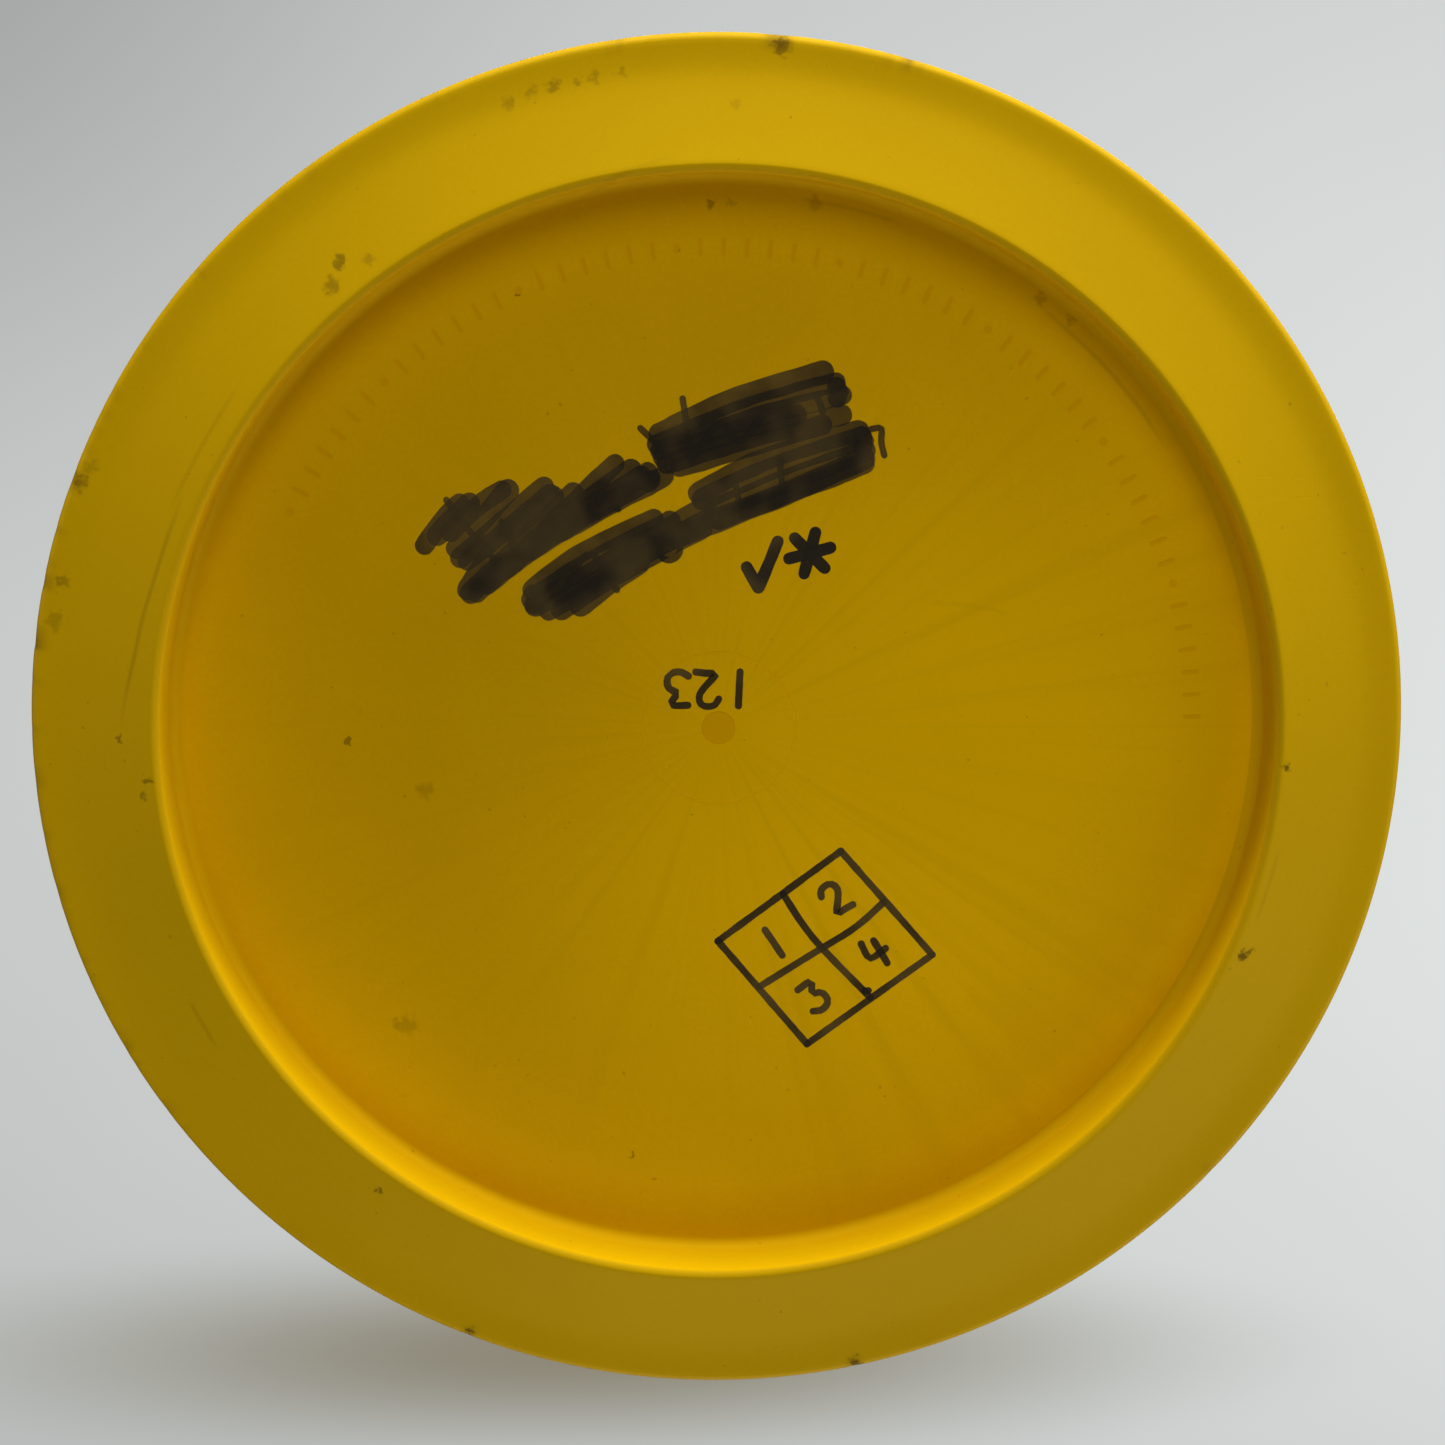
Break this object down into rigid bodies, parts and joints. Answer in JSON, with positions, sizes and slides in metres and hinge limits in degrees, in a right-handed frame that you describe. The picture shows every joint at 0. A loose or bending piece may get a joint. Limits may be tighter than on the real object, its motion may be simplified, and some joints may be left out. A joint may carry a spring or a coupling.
{
  "type": "flying disc",
  "caption": "Round throwing disc for disc golf: a thin domed plate inside a wide wedge-shaped rim, hollow underneath, in one colour of glossy plastic.",
  "frame": {"origin": "centre of the flat ring under the rim, on the surface that the disc lies on", "axes": "+Z is the disc's axis, out of the domed side; +Y is towards the crossed-out writing on the underside"},
  "size_m": [0.211, 0.211, 0.0149],
  "materials": {
    "disc_plastic": "satin",
    "pen_ink": "matte"
  },
  "bodies": {
    "root": {"rim": "disc_plastic", "flight_plate": "disc_plastic", "gate_stub": "disc_plastic", "insert_ring": "disc_plastic", "raised_dashes": "disc_plastic", "crossed_out_block": "pen_ink", "weight_digits": "pen_ink", "rating_grid": "pen_ink"}
  },
  "joints": []
}
